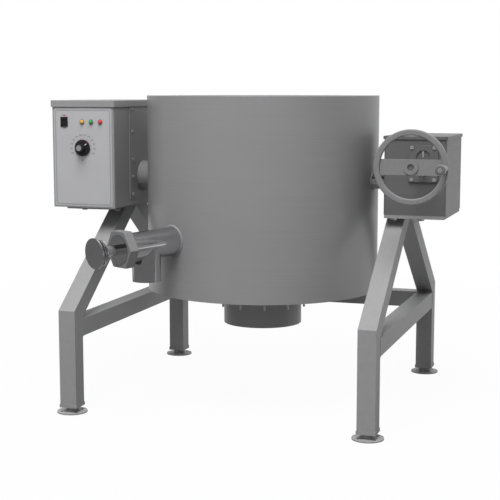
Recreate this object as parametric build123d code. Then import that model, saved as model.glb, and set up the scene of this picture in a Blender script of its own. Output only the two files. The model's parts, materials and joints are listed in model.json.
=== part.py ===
from build123d import *
from math import cos, degrees, pi, radians, sin, sqrt, tan
import os

# Tilting steam jacketed kettle on two A-frames, millimetres.
# X runs from the control box to the gearbox, Y to the back, Z up, floor at Z = 0.
# The kettle tilts about a line along X at Y = 0, and its own axis stands a little behind that line.

# Clearances
running = 0.05
loose = 0.3
gap = 1.0
screw_clear = 0.2

# Frame
tube = 50.8
tube_wall = 3.2
frame_clearance = 61.1
frame_half_y = 440.0
bend_z = 300.0
leg_gap = 0.28582
cross_z = 220.0
plate_thick = 9.5
plate_top = 574.0
left_plate_half_y = 157.0
left_plate_inset = 20.0
right_plate_inset = 3.0

# Levelling feet
foot_flange_r = 43.6
foot_flange_h = 4.0
foot_neck_r = 18.0
foot_gap = 17.0
foot_travel = 20.0
foot_stem_r = 8.0
foot_hole_r = 4.4
foot_hole_pcd = 62.0
foot_holes = 4
cap_size = 54.0
cap_h = 10.0
cap_plug_h = 26.0

# Tilting line and gears
trunnion_z = 661.0
trunnion_r = 25.0
trunnion_bore_r = 12.0
collar_r = 45.8
gear_module = 2.0
wheel_teeth = 48
pressure_angle = 20.0
wheel_width = 24.0
wheel_hub_r = 36.0
wheel_hub_w = 40.0
worm_pitch_r = 12.0
worm_length = 66.0
worm_shaft_r = 9.0
gear_inset = 112.5
tooth_backlash = 1.1

# Kettle
kettle_y = 24.0
shell_clearance = 9.1
shell_wall = 2.0
shell_bottom = 326.0
rim_z = 909.3
rim_thick = 5.0
rim_round = 2.0
bowl_r = 305.0
bowl_wall = 3.0
bowl_bottom = 455.0
steam_gap = 30.0
jacket_wall = 4.0
jacket_top = 836.0
base_plate_thick = 3.0
sump_r = 119.3
sump_wall = 4.0
sump_bottom = 214.6
sump_mouth_r = 108.0
sump_floor = 3.0
element_plate_z = 250.0
element_plate_thick = 10.0
element_count = 3
element_tube_r = 4.5
element_bend_r = 20.0
element_height = 96.0
element_circle_r = 56.0
stud_count = 12
stud_circle_r = 142.0
stud_r = 3.2
stud_bottom = 272.0
stud_nut_r = 6.5
stud_nut_h = 5.0

# Draw-off valve
valve_turn = 30.0
valve_slope = 3.0
valve_z = 493.7
valve_tube_r = 41.3
valve_bore_r = 38.1
nut_reach = 162.4
nut_length = 28.0
nut_corner_r = 58.6
nut_lip = 5.0
nut_lip_r = 42.0
spout_reach = 94.4
spout_r = 41.5
spout_bottom = 386.5
spout_end_r = 41.0
spout_end = 34.0
plug_reach = 36.4
plug_length = 14.0
seal_width = 4.0
seal_depth = 2.4
stem_r = 15.0
handle_reach = 247.4
handle_length = 25.0
handle_r = 43.3
handle_back_r = 36.0
handle_waist_r = 25.0
handle_rim = 4.0

# Control box
box_clearance = 38.9
box_width = 203.5
box_depth = 415.0
box_wall = 1.5
box_round = 5.0
lid_top = 895.0
lid_lip = 20.0
lid_overhang = 3.5
panel_half_y = 97.0
panel_bottom = 593.0
panel_thick = 1.5
panel_margin = 15.0
panel_screw_inset = 20.7
panel_screw_z = [607.8, 661.0, 714.0, 799.4, 867.4]
shaft_hole_r = 27.0
label_w = 190.0
label_h = 293.0
label_bottom = 578.0
label_thick = 1.0
label_round = 8.0
control_z = 830.6
lamp_aside = {"amber": -1.15, "green": 28.55, "red": 58.45}
lamp_r = 6.2
lamp_flange_r = 7.0
lamp_barrel_r = 4.8
lamp_barrel = 26.0
switch_aside = -60.25
switch_w = 23.0
switch_h = 29.0
switch_proud = 2.4
switch_depth = 24.0
rocker_w = 16.0
rocker_h = 22.0
rocker_angle = 8.0
knob_aside = -0.05
knob_z = 753.4
knob_r = 24.5
knob_skirt = 6.0
knob_grip_r = 10.5
knob_height = 28.0
knob_spindle_r = 3.0
knob_cap_r = 8.6
knob_cap_h = 1.2
conduit_aside = -48.25
conduit_z = 622.0
conduit_r = 10.4
conduit_neck_r = 13.4
conduit_hub_r = 19.0
conduit_length = 30.0

# Left trunnion bearing, standing on the floor of the control box
block_aside = 46.75
block_w = 40.0
block_base_y = 120.0
block_base_h = 16.0
block_ring_r = 46.0

# Gearbox
gearbox_clearance = 58.4
gearbox_w = 177.0
gearbox_depth = 270.0
gearbox_wall = 8.0
gearbox_round = 9.0
gearbox_top = 794.0
gear_lid_thick = 3.0
gear_lid_lip = 9.0
gear_lid_overhang = 3.0
bush_r = 33.0
bush_length = 34.0
worm_bush_r = 18.0
bearing_plate_w = 83.4
bearing_plate_h = 102.7
bearing_plate_thick = 6.0
bearing_screw_dx = 31.7
bearing_screw_dz = 44.6
worm_bush_length = 34.0
gearbox_bolt_inset = [24.0, 103.5]
gearbox_bolt_y = 106.0
box_bolt_aside = [-48.25, 63.75]
box_bolt_y = 104.0
bolt_r = 5.0
bolt_head_r = 9.5
bolt_head_h = 7.5
screw_r = 2.5
screw_head_r = 5.0
screw_head_h = 2.6

# Handwheel
handwheel_r = 100.8
handwheel_rim = 16.5
handwheel_front = -321.0
handwheel_thick = 14.0
handwheel_bar_w = 42.0
handwheel_bar_t = 8.0
handwheel_bar_set = 5.0
hub_r = 19.6
hub_front = -319.0
hub_back = -286.0
spinner_front = -406.0
spinner_gap = 2.0
spinner_r = 13.8
spinner_base_r = 8.0
spinner_pin_r = 5.0

# Jacket fittings on the back of the kettle
fitting_z = 780.0
fitting_turn = 16.0
fitting_pipe_r = 9.0
gauge_r = 32.0
gauge_depth = 24.0
gauge_reach = 26.0

# Values that follow
bowl_centre_z = bowl_bottom + bowl_r
bowl_outer_r = bowl_r + bowl_wall
jacket_r = bowl_outer_r + steam_gap
jacket_outer_r = jacket_r + jacket_wall
shell_r = jacket_outer_r + shell_clearance
frame_inner_x = shell_r + frame_clearance
frame_half_x = frame_inner_x + tube
leg_top = plate_top - plate_thick
leg_rise = leg_top - bend_z
leg_reach = frame_half_y - tube - leg_gap / 2
bisector_tan = (sqrt(leg_rise**2 + leg_reach * (leg_reach + 2 * tube)) - leg_rise) / (leg_reach + 2 * tube)
lean_tan = 2 * bisector_tan / (1 - bisector_tan**2)
leg_bottom = foot_gap + cap_h
foot_stem = cap_h + cap_plug_h + foot_travel / 2
wheel_pitch_r = gear_module * wheel_teeth / 2
worm_z = trunnion_z + wheel_pitch_r + worm_pitch_r
worm_lead = pi * gear_module
flank_slope = tan(radians(pressure_angle))
box_inner_x = shell_r + box_clearance
box_outer_x = box_inner_x + box_width
box_centre_x = -(box_inner_x + box_width / 2)
box_front = -box_depth / 2
box_top = lid_top - box_wall
lamp_x = {colour: box_centre_x + aside for colour, aside in lamp_aside.items()}
switch_x = box_centre_x + switch_aside
knob_x = box_centre_x + knob_aside
conduit_x = box_centre_x + conduit_aside
block_x = box_centre_x + block_aside
box_bolt_x = [box_centre_x + aside for aside in box_bolt_aside]
gearbox_x0 = shell_r + gearbox_clearance
gearbox_x1 = gearbox_x0 + gearbox_w
gearbox_front = -gearbox_depth / 2
gearbox_bolt_x = [gearbox_x0 + inset for inset in gearbox_bolt_inset]
gear_x = gearbox_x0 + gear_inset
collar_end = box_inner_x - panel_thick - gap
plug_at = shell_r + plug_reach
spout_at = shell_r + spout_reach
nut_back = shell_r + nut_reach
nut_front = nut_back + nut_length
handle_back = shell_r + handle_reach
handle_front = handle_back + handle_length
handwheel_mean_r = handwheel_r - handwheel_rim / 2
valve_plane = Plane(
    origin=(0, kettle_y, valve_z + shell_r * tan(radians(valve_slope))),
    x_dir=(cos(radians(valve_turn)), -sin(radians(valve_turn)), 0),
    z_dir=(
        -sin(radians(valve_turn)) * cos(radians(valve_slope)),
        -cos(radians(valve_turn)) * cos(radians(valve_slope)),
        -sin(radians(valve_slope)),
    ),
)

up = (Align.CENTER, Align.CENTER, Align.MIN)
along_x = Rot(0, 90, 0)
along_y = Rot(-90, 0, 0)


def rod(radius, start, end):
    """A round bar on the Z axis between two heights."""
    return Pos(0, 0, start) * Cylinder(radius, end - start, align=up)


def block(x0, x1, y0, y1, z0, z1):
    """A box between two corners."""
    return Pos((x0 + x1) / 2, (y0 + y1) / 2, (z0 + z1) / 2) * Box(x1 - x0, y1 - y0, z1 - z0)


def round_block(x0, x1, y0, y1, z0, z1, radius):
    """A box whose upright edges are rounded."""
    plan = Pos((x0 + x1) / 2, (y0 + y1) / 2, z0) * RectangleRounded(x1 - x0, y1 - y0, radius)
    return extrude(plan, z1 - z0)


def turned(points):
    """A solid of revolution about Z from (radius, height) points."""
    return revolve(Plane.XZ * make_face(Polyline(*points, close=True)), Axis.Z)


# Frame of square tube
def leg_outline(near, far, low, high):
    def slant_y(offset, z):
        return -frame_half_y + offset + (z - bend_z + offset * bisector_tan) * lean_tan

    points = [
        (-frame_half_y + near, low),
        (-frame_half_y + near, bend_z - near * bisector_tan),
        (slant_y(near, high), high),
        (slant_y(far, high), high),
        (-frame_half_y + far, bend_z - far * bisector_tan),
        (-frame_half_y + far, low),
    ]
    return Plane.YZ * make_face(Polyline(*points, close=True))


def make_leg():
    body = extrude(leg_outline(0, tube, leg_bottom, leg_top), tube)
    hollow = extrude(leg_outline(tube_wall, tube - tube_wall, leg_bottom - 1, leg_top + 1), tube - 2 * tube_wall)
    return body - Pos(tube_wall, 0, 0) * hollow


def make_cross_tube(length):
    return Box(tube, length, tube) - Box(tube - 2 * tube_wall, length + 2, tube - 2 * tube_wall)


def make_socket():
    inner = tube - 2 * tube_wall - 2 * screw_clear
    cap = Pos(0, 0, foot_gap) * Box(cap_size, cap_size, cap_h, align=up)
    plug = Pos(0, 0, leg_bottom) * Box(inner, inner, cap_plug_h, align=up)
    return cap + plug - rod(foot_stem_r + running, 0, leg_bottom + cap_plug_h + 1)


def make_foot():
    profile = [
        (0, 0),
        (foot_flange_r, 0),
        (foot_flange_r, foot_flange_h),
        (foot_neck_r, foot_flange_h),
        (foot_neck_r, foot_gap),
        (foot_stem_r, foot_gap),
        (foot_stem_r, foot_gap + foot_stem),
        (0, foot_gap + foot_stem),
    ]
    foot = turned(profile)
    for hole in PolarLocations(foot_hole_pcd / 2, foot_holes, 45):
        foot -= hole * rod(foot_hole_r, -1, foot_flange_h + 1)
    return foot


# Kettle
def dome_profile(radius, centre_z, top_z):
    """Half section of a round bottom with a straight wall above it."""
    bottom = (0, centre_z - radius)
    middle = (radius * sin(radians(45)), centre_z - radius * cos(radians(45)))
    side = (radius, centre_z)
    return bottom, middle, side, (radius, top_z)


def vessel(outer, inner, top_z):
    """A round-bottomed open pan between two radii about one centre."""
    solids = []
    for radius in (outer, inner):
        bottom, middle, side, top = dome_profile(radius, bowl_centre_z, top_z)
        edges = [
            ThreePointArc(bottom, middle, side),
            Line(side, top),
            Line(top, (0, top_z)),
            Line((0, top_z), bottom),
        ]
        solids.append(revolve(Plane.XZ * make_face(edges), Axis.Z))
    return solids[0] - solids[1]


def at_kettle(shape):
    return Pos(0, kettle_y, 0) * shape


def valve_round(radius, start, end):
    """A round bar on the draw-off line, which slopes down away from the bowl."""
    return valve_plane * rod(radius, start, end)


def spout_round(radius, bottom):
    top = valve_plane.from_local_coords((0, 0, spout_at))
    return Pos(top.X, top.Y, bottom) * Cylinder(radius, top.Z - bottom, align=up)


def make_bowl():
    """A pressed round bottom welded to a straight wall."""
    bowl = vessel(bowl_outer_r, bowl_r, rim_z - rim_thick)
    below = rod(shell_r, 0, bowl_centre_z)
    bottom = at_kettle(bowl & below) - valve_round(valve_tube_r, 0, shell_r)
    return [bottom, at_kettle(bowl - below)]


def make_rim():
    ring = turned([(bowl_r, rim_z - rim_thick), (shell_r, rim_z - rim_thick), (shell_r, rim_z), (bowl_r, rim_z)])
    ring = fillet(ring.edges().group_by(Axis.Z)[-1], rim_round)
    return at_kettle(ring)


def make_jacket():
    pan = vessel(jacket_outer_r, jacket_r, jacket_top)
    closure = turned([
        (bowl_outer_r, jacket_top),
        (jacket_outer_r, jacket_top),
        (jacket_outer_r, jacket_top + jacket_wall),
        (bowl_outer_r, jacket_top + jacket_wall),
    ])
    pan = pan + closure - rod(sump_mouth_r, 0, bowl_centre_z - jacket_r + 40)
    return at_kettle(pan) - valve_round(valve_tube_r, shell_r / 4, shell_r)


def make_outer_shell():
    wall = rod(shell_r, shell_bottom, rim_z - rim_thick)
    wall -= rod(shell_r - shell_wall, shell_bottom - 1, rim_z)
    wall = at_kettle(wall) - valve_round(valve_tube_r, bowl_r, shell_r + tube)
    for turn in (-fitting_turn, fitting_turn):
        wall -= back_place(turn) * rod(fitting_pipe_r, jacket_outer_r, shell_r + gap)
    return wall - Pos(-shell_r - tube, 0, trunnion_z) * along_x * rod(trunnion_r, 0, 2 * (shell_r + tube))


def make_base_plate():
    plate = rod(shell_r - shell_wall, shell_bottom, shell_bottom + base_plate_thick)
    plate -= rod(sump_r, 0, rim_z)
    for spot in PolarLocations(stud_circle_r, stud_count, 20):
        plate -= spot * rod(stud_r, 0, rim_z)
    return at_kettle(plate)


def make_sump():
    wall = rod(sump_r, sump_bottom, bowl_centre_z)
    wall -= rod(sump_r - sump_wall, sump_bottom + sump_floor, bowl_centre_z + 1)
    wall -= Pos(0, 0, bowl_centre_z) * Sphere(jacket_outer_r)
    return at_kettle(wall)


def make_element_plate():
    plate = rod(sump_r - sump_wall, element_plate_z, element_plate_z + element_plate_thick)
    for spot in PolarLocations(element_circle_r, element_count):
        for side in (-1, 1):
            leg = spot * Pos(0, side * element_bend_r, 0)
            plate -= leg * rod(element_tube_r, 0, rim_z)
    return at_kettle(plate)


def make_element():
    start = element_plate_z - element_plate_thick
    crown = element_plate_z + element_plate_thick + element_height
    shape = Pos(0, element_bend_r, 0) * rod(element_tube_r, start, crown)
    shape += Pos(0, -element_bend_r, 0) * rod(element_tube_r, start, crown)
    section = Plane.XY * (Pos(0, element_bend_r) * Circle(element_tube_r))
    shape += Pos(0, 0, crown) * revolve(section, Axis.X, 180)
    return shape


def make_studs():
    studs = []
    for spot in PolarLocations(stud_circle_r, stud_count, 20):
        nut = Pos(0, 0, shell_bottom - stud_nut_h) * extrude(RegularPolygon(stud_nut_r, 6), stud_nut_h)
        stud = rod(stud_r, stud_bottom, shell_bottom + base_plate_thick)
        studs.append(at_kettle(spot * (stud + nut)))
    return studs


# Trunnions and worm wheel
def trunnion_bar(side, length_end):
    """A shaft from inside the shell out to a stated X, trimmed clear of the jacket."""
    start = bowl_r
    bar = Pos(side * start, 0, trunnion_z) * Rot(0, side * 90, 0) * rod(trunnion_r, 0, length_end - start)
    return bar - at_kettle(rod(jacket_outer_r, 0, rim_z))


def make_left_trunnion():
    end = -block_x + block_w / 2 + 12
    bar = trunnion_bar(-1, end)
    collar = Pos(-bowl_r, 0, trunnion_z) * Rot(0, -90, 0) * rod(collar_r, 0, collar_end - bowl_r)
    collar -= at_kettle(rod(shell_r, 0, rim_z))
    bore = Pos(-bowl_r, 0, trunnion_z) * Rot(0, -90, 0) * rod(trunnion_bore_r, 0, end)
    return bar + collar - bore


def make_right_trunnion():
    return trunnion_bar(1, gearbox_x1 - gearbox_wall - 2)


def make_worm_wheel():
    """A wheel whose teeth slant across its face by the worm's lead angle."""
    tip_r = wheel_pitch_r + gear_module
    root_r = wheel_pitch_r - 1.25 * gear_module
    half_tooth = worm_lead / 4 - tooth_backlash / 4
    foot_half = half_tooth + 1.5 * gear_module * flank_slope
    tip_half = half_tooth - gear_module * flank_slope
    foot_r = root_r - gear_module / 2
    corners = [(-foot_half, foot_r), (foot_half, foot_r), (tip_half, tip_r), (-tip_half, tip_r)]
    side = make_face(Polyline(*corners, close=True))
    half_twist = degrees(wheel_width / 2 * worm_lead / (2 * pi * worm_pitch_r) / wheel_pitch_r)
    low = Pos(0, 0, -wheel_width / 2) * Rot(0, 0, -half_twist) * side
    high = Pos(0, 0, wheel_width / 2) * Rot(0, 0, half_twist) * side
    tooth = loft([low, high], ruled=True)
    turn = 360 / wheel_teeth
    wheel = rod(root_r, -wheel_width / 2, wheel_width / 2)
    wheel += [Rot(0, 0, turn * (k + 0.5)) * tooth for k in range(wheel_teeth)]
    wheel += rod(wheel_hub_r, -wheel_hub_w / 2, wheel_hub_w / 2)
    wheel -= rod(trunnion_r, -wheel_hub_w, wheel_hub_w)
    return Pos(gear_x, 0, trunnion_z) * along_x * wheel


def make_worm():
    """A single right-hand thread round its root bar, centred on Z = 0."""
    root_r = worm_pitch_r - 1.25 * gear_module
    tip_r = worm_pitch_r + gear_module
    half_thread = worm_lead / 4 - tooth_backlash / 4
    foot_half = half_thread + 1.25 * gear_module * flank_slope
    tip_half = half_thread - gear_module * flank_slope
    sunk_r = root_r - loose
    start = -worm_length / 2
    profile = Polyline(
        (sunk_r, start - foot_half),
        (root_r, start - foot_half),
        (tip_r, start - tip_half),
        (tip_r, start + tip_half),
        (root_r, start + foot_half),
        (sunk_r, start + foot_half),
        close=True,
    )
    path = Pos(0, 0, start) * Helix(worm_lead, worm_length, worm_pitch_r)
    thread = sweep(Plane.XZ * make_face(profile), path, is_frenet=True)
    half = worm_length / 2
    return (rod(root_r, -half, half) + thread) & rod(tip_r + 1, -half, half)


def make_worm_shaft():
    """The worm turned so that its thread fills the wheel's top gap, on its long shaft."""
    turns_to_middle = worm_length / 2 / worm_lead
    worm = Rot(0, 0, 90 - 360 * turns_to_middle) * make_worm()
    shaft = rod(worm_shaft_r, hub_front + 4, -gearbox_front - gearbox_wall - 2)
    return Pos(gear_x, 0, worm_z) * along_y * (worm + shaft)


# Draw-off valve
def make_valve_body():
    """A straight tube and the spout welded under it, whose lower end is turned for a sleeve."""
    outside = valve_round(valve_tube_r, 0, nut_front - nut_lip)
    bore = valve_round(valve_bore_r, -1, nut_front)
    way_out = spout_round(spout_r - valve_tube_r + valve_bore_r, spout_bottom - 1)
    line = outside - bore - way_out - at_kettle(Pos(0, 0, bowl_centre_z) * Sphere(bowl_r))
    spout = spout_round(spout_r, spout_bottom + spout_end) + spout_round(spout_end_r, spout_bottom)
    return [line, spout - way_out - outside]


def make_valve_nut():
    nut = Pos(0, 0, nut_back) * extrude(RegularPolygon(nut_corner_r, 6), nut_front - nut_back)
    nut -= rod(valve_tube_r, 0, nut_front - nut_lip)
    nut -= rod(nut_lip_r, nut_front - nut_lip, nut_front + 1)
    return valve_plane * nut


def make_bonnet():
    disc = rod(nut_lip_r, nut_front - nut_lip, nut_front + 1)
    disc += rod(valve_bore_r, nut_back, nut_front - nut_lip)
    return valve_plane * (disc - rod(stem_r + running, 0, handle_back))


def make_plunger():
    plug = rod(valve_bore_r - running, plug_at, plug_at + plug_length)
    groove_z = plug_at + (plug_length - seal_width) / 2
    plug -= rod(valve_bore_r, groove_z, groove_z + seal_width) - rod(valve_bore_r - seal_depth, 0, handle_back)
    return valve_plane * (plug + rod(stem_r, plug_at, handle_back + handle_rim))


def make_plunger_seal():
    groove_z = plug_at + (plug_length - seal_width) / 2
    ring = rod(valve_bore_r - running, groove_z, groove_z + seal_width)
    return valve_plane * (ring - rod(valve_bore_r - seal_depth, 0, handle_back))


def make_pull_handle():
    waist_z = (handle_back + handle_front) / 2
    points = [
        (0, handle_back + handle_rim),
        (stem_r, handle_back + handle_rim),
        (stem_r, handle_back),
        (handle_back_r, handle_back),
        (handle_back_r, handle_back + handle_rim),
    ]
    edges = [Polyline(*points)]
    edges.append(ThreePointArc(points[-1], (handle_waist_r, waist_z), (handle_r - 1, handle_front - handle_rim)))
    edges.append(Polyline(
        (handle_r - 1, handle_front - handle_rim),
        (handle_r, handle_front - handle_rim),
        (handle_r, handle_front),
        (0, handle_front),
        (0, handle_back + handle_rim),
    ))
    return valve_plane * revolve(Plane.XZ * make_face(edges), Axis.Z)


# Control box
def make_control_box():
    x0, x1 = -box_outer_x, -box_inner_x
    shell = round_block(x0, x1, box_front, -box_front, plate_top, box_top, box_round)
    shell -= round_block(
        x0 + box_wall, x1 - box_wall, box_front + box_wall, -box_front - box_wall,
        plate_top + box_wall, box_top + 1, box_round - box_wall,
    )
    service = panel_half_y - panel_screw_inset - screw_head_r * 2
    shell -= block(x1 - 2 * box_wall, x1 + 1, -service, service, panel_bottom + panel_margin + 10, control_z + 20)
    shell -= Pos(x1 - 5, 0, trunnion_z) * along_x * rod(shaft_hole_r, 0, 10)
    for screw in panel_screws():
        shell -= screw * rod(screw_r, -12, 3)
    for hole in front_holes():
        shell -= hole
    shell -= Pos(conduit_x, -box_front - 5, conduit_z) * along_y * rod(conduit_neck_r + loose, 0, 10)
    for x in box_bolt_x:
        for y in (-box_bolt_y, box_bolt_y):
            shell -= Pos(x, y, 0) * rod(bolt_r, plate_top - 1, plate_top + 20)
    return shell


def panel_screws():
    """Places of the service panel's screws, with Z pointing out of the panel."""
    face = -box_inner_x + panel_thick
    places = []
    for z in panel_screw_z:
        for side in (-1, 1):
            y = side * (panel_half_y - panel_screw_inset)
            places.append(Pos(face, y, z) * along_x)
    return places


def front_holes():
    holes = []
    for x in lamp_x.values():
        holes.append(Pos(x, box_front - 5, control_z) * along_y * rod(lamp_barrel_r + loose, 0, 20))
    holes.append(block(
        switch_x - switch_w / 2 + 1, switch_x + switch_w / 2 - 1, box_front - 5, box_front + 20,
        control_z - switch_h / 2 + 1, control_z + switch_h / 2 - 1,
    ))
    holes.append(Pos(knob_x, box_front - 5, knob_z) * along_y * rod(knob_spindle_r + running, 0, 20))
    return holes


def make_control_lid():
    x0, x1 = -box_outer_x - lid_overhang, -box_inner_x + lid_overhang
    y0 = box_front - lid_overhang
    lid = round_block(x0, x1, y0, -y0, lid_top - lid_lip, lid_top, box_round)
    lid = fillet(lid.edges().group_by(Axis.Z)[-1], box_wall)
    return lid - round_block(
        x0 + box_wall, x1 - box_wall, y0 + box_wall, -y0 - box_wall,
        lid_top - lid_lip - 1, lid_top - box_wall, box_round - box_wall,
    )


def make_service_panel():
    x0 = -box_inner_x
    panel = block(
        x0, x0 + panel_thick, -panel_half_y, panel_half_y, panel_bottom, lid_top - lid_lip - gap,
    )
    panel -= Pos(x0 - 5, 0, trunnion_z) * along_x * rod(shaft_hole_r, 0, 10)
    for screw in panel_screws():
        panel -= screw * rod(screw_r, -12, 3)
    return panel


def make_label_plate():
    face = Pos(box_centre_x, 0, label_bottom + label_h / 2) * Rot(90, 0, 0)
    plate = face * extrude(RectangleRounded(label_w, label_h, label_round), label_thick)
    plate = Pos(0, box_front, 0) * plate
    for hole in front_holes():
        plate -= hole
    return plate


def make_lamp(x):
    face = box_front - label_thick
    dome = Sphere(lamp_r) & block(-lamp_r, lamp_r, -lamp_r, lamp_r, 0, lamp_r)
    lamp = Pos(0, 0, 1) * dome + rod(lamp_flange_r, 0, 1) + rod(lamp_barrel_r, -lamp_barrel, 0)
    return Pos(x, face, control_z) * Rot(90, 0, 0) * lamp


def make_switch_frame():
    face = box_front - label_thick
    outer = block(-switch_w / 2, switch_w / 2, -switch_h / 2, switch_h / 2, 0, switch_proud)
    inside_w = switch_w - 2 - 2 * loose
    inside_h = switch_h - 2 - 2 * loose
    outer += block(-inside_w / 2, inside_w / 2, -inside_h / 2, inside_h / 2, -switch_depth, 0)
    outer -= block(
        -rocker_w / 2 - loose, rocker_w / 2 + loose, -rocker_h / 2 - gap, rocker_h / 2 + gap,
        -switch_depth / 2, switch_proud + 1,
    )
    return Pos(switch_x, face, control_z) * Rot(90, 0, 0) * outer


def make_rocker():
    half = rocker_h / 2
    crest = 3.4
    foot_z = -6.0
    points = [(-half + 1, foot_z), (-half, crest), (0, crest - 1.2), (half, crest), (half - 1, foot_z)]
    rocker = extrude(Plane.YZ * make_face(Polyline(*points, close=True)), rocker_w / 2, both=True)
    face = box_front - label_thick
    return Pos(switch_x, face, control_z) * Rot(90, 0, 0) * Rot(rocker_angle, 0, 0) * rocker


def make_knob():
    skirt = [
        (0, gap),
        (knob_r, gap),
        (knob_r, knob_skirt - 1),
        (knob_r - 1.5, knob_skirt),
        (knob_grip_r + 1.5, knob_skirt + 1.5),
        (knob_grip_r, knob_height),
        (knob_cap_r, knob_height),
        (knob_cap_r, knob_height - knob_cap_h),
        (0, knob_height - knob_cap_h),
    ]
    knob = turned(skirt) + rod(knob_spindle_r, -22, gap)
    return Pos(knob_x, box_front - label_thick, knob_z) * Rot(90, 0, 0) * knob


def make_knob_cap():
    cap = rod(knob_cap_r - running, knob_height - knob_cap_h, knob_height + 0.4)
    return Pos(knob_x, box_front - label_thick, knob_z) * Rot(90, 0, 0) * cap


def make_thermostat():
    back = box_front + box_wall
    body = block(-24, 24, -24, 24, 0, 34) + rod(11, 34, 38)
    body -= rod(knob_spindle_r + running, -1, 24)
    return Pos(knob_x, back, knob_z) * Rot(-90, 0, 0) * body


def make_contactor():
    floor = plate_top + box_wall
    x = -box_outer_x + 60
    return block(x - 22, x + 22, 22, 92, floor, floor + 85) + block(x - 16, x + 16, 30, 84, floor + 85, floor + 98)


def make_conduit_hub():
    back = -box_front
    hub = rod(conduit_neck_r, -10, 0) + rod(conduit_hub_r, 0, conduit_length - 10)
    hub = hub - rod(conduit_r, -20, conduit_length)
    return Pos(conduit_x, back, conduit_z) * along_y * hub


def make_bearing_block():
    floor = plate_top + box_wall
    base = block(-block_w / 2, block_w / 2, -block_base_y / 2, block_base_y / 2, floor, floor + block_base_h)
    ring = Pos(-block_w / 2, 0, trunnion_z) * along_x * rod(block_ring_r, 0, block_w)
    web = block(-block_w / 2, block_w / 2, -block_ring_r, block_ring_r, floor, trunnion_z)
    bearing = base + ring + web
    bearing -= Pos(-block_w, 0, trunnion_z) * along_x * rod(trunnion_r + running, 0, 2 * block_w)
    return Pos(block_x, 0, 0) * bearing


# Gearbox
def make_gearbox():
    x0, x1 = gearbox_x0, gearbox_x1
    wall = gearbox_wall
    housing = round_block(x0, x1, gearbox_front, -gearbox_front, plate_top, gearbox_top, gearbox_round)
    housing -= round_block(
        x0 + wall, x1 - wall, gearbox_front + wall, -gearbox_front - wall,
        plate_top + wall, gearbox_top + 1, gearbox_round - wall,
    )
    for start, end in ((x0, x0 + bush_length), (x1 - bush_length, x1)):
        housing += Pos(start, 0, trunnion_z) * along_x * rod(bush_r + wall, 0, end - start)
    boss = worm_bush_r + wall
    housing += Pos(gear_x, -gearbox_front - worm_bush_length, worm_z) * along_y * rod(boss, 0, worm_bush_length)
    housing -= Pos(x0 - 1, 0, trunnion_z) * along_x * rod(bush_r, 0, bush_length + 2)
    housing -= Pos(x1 - bush_length - 1, 0, trunnion_z) * along_x * rod(bush_r, 0, bush_length + 1 - wall)
    housing -= Pos(gear_x, gearbox_front - 1, worm_z) * along_y * rod(worm_bush_r, 0, worm_bush_length)
    rear = -gearbox_front - worm_bush_length - 1
    housing -= Pos(gear_x, rear, worm_z) * along_y * rod(worm_bush_r, 0, worm_bush_length + 1 - wall)
    for place in gearbox_screws():
        housing -= place * rod(screw_r, -20, 1)
    for x in gearbox_bolt_x:
        for y in (-gearbox_bolt_y, gearbox_bolt_y):
            housing -= Pos(x, y, 0) * rod(bolt_r, plate_top - 1, plate_top + wall + 1)
    return housing


def bearing_plate_face():
    return Pos(gear_x, gearbox_front - bearing_plate_thick, worm_z) * Rot(90, 0, 0)


def gearbox_screws():
    """Places of the bearing plate's screws, with Z pointing out of the plate."""
    places = []
    for dx in (-bearing_screw_dx, bearing_screw_dx):
        for dz in (-bearing_screw_dz, bearing_screw_dz):
            places.append(bearing_plate_face() * Pos(dx, dz, 0))
    return places


def make_gearbox_lid():
    x0, x1 = gearbox_x0 - gear_lid_overhang, gearbox_x1 + gear_lid_overhang
    y0 = gearbox_front - gear_lid_overhang
    top = gearbox_top + gear_lid_thick
    lid = round_block(x0, x1, y0, -y0, top - gear_lid_lip, top, gearbox_round)
    lid = fillet(lid.edges().group_by(Axis.Z)[-1], gear_lid_thick / 2)
    return lid - round_block(
        gearbox_x0 - loose, gearbox_x1 + loose, gearbox_front - loose, -gearbox_front + loose,
        top - gear_lid_lip - 1, gearbox_top, gearbox_round,
    )


def make_bearing_plate():
    plan = RectangleRounded(bearing_plate_w, bearing_plate_h, 5)
    plate = Pos(0, 0, -bearing_plate_thick) * extrude(plan, bearing_plate_thick)
    plate -= rod(worm_bush_r, -20, 20)
    plate = bearing_plate_face() * plate
    for place in gearbox_screws():
        plate -= place * rod(screw_r, -20, 1)
    return plate


def make_worm_bushes():
    bore = rod(worm_shaft_r + running, -gearbox_depth, gearbox_depth)
    front = rod(worm_bush_r, gearbox_front - bearing_plate_thick, gearbox_front + worm_bush_length - 1) - bore
    rear = rod(worm_bush_r, -gearbox_front - worm_bush_length, -gearbox_front - gearbox_wall) - bore
    return [Pos(gear_x, 0, worm_z) * along_y * part for part in (front, rear)]


def make_trunnion_bushes():
    bore = rod(trunnion_r + running, 0, 2 * gearbox_x1)
    inner = rod(bush_r, gearbox_x0, gearbox_x0 + bush_length) - bore
    outer = rod(bush_r, gearbox_x1 - bush_length, gearbox_x1 - gearbox_wall) - bore
    return [Pos(0, 0, trunnion_z) * along_x * part for part in (inner, outer)]


# Handwheel
def make_handwheel():
    rim = Pos(0, 0, -handwheel_thick) * Cylinder(handwheel_r, handwheel_thick, align=up)
    rim -= Cylinder(handwheel_r - handwheel_rim, 4 * handwheel_thick)
    rim = fillet(rim.edges(), 4)
    bar_top = -handwheel_bar_set
    bar = block(
        -handwheel_mean_r, handwheel_mean_r, -handwheel_bar_w / 2, handwheel_bar_w / 2,
        bar_top - handwheel_bar_t, bar_top,
    )
    front = handwheel_front - hub_front
    wheel = rim + bar + rod(hub_r, handwheel_front - hub_back, front)
    wheel -= rod(worm_shaft_r, handwheel_front - hub_back - 1, front + 1)
    wheel -= Pos(handwheel_mean_r, 0, 0) * rod(spinner_pin_r, -handwheel_thick - 1, 1)
    return Pos(gear_x, handwheel_front, worm_z) * Rot(90, 0, 0) * wheel


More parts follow.
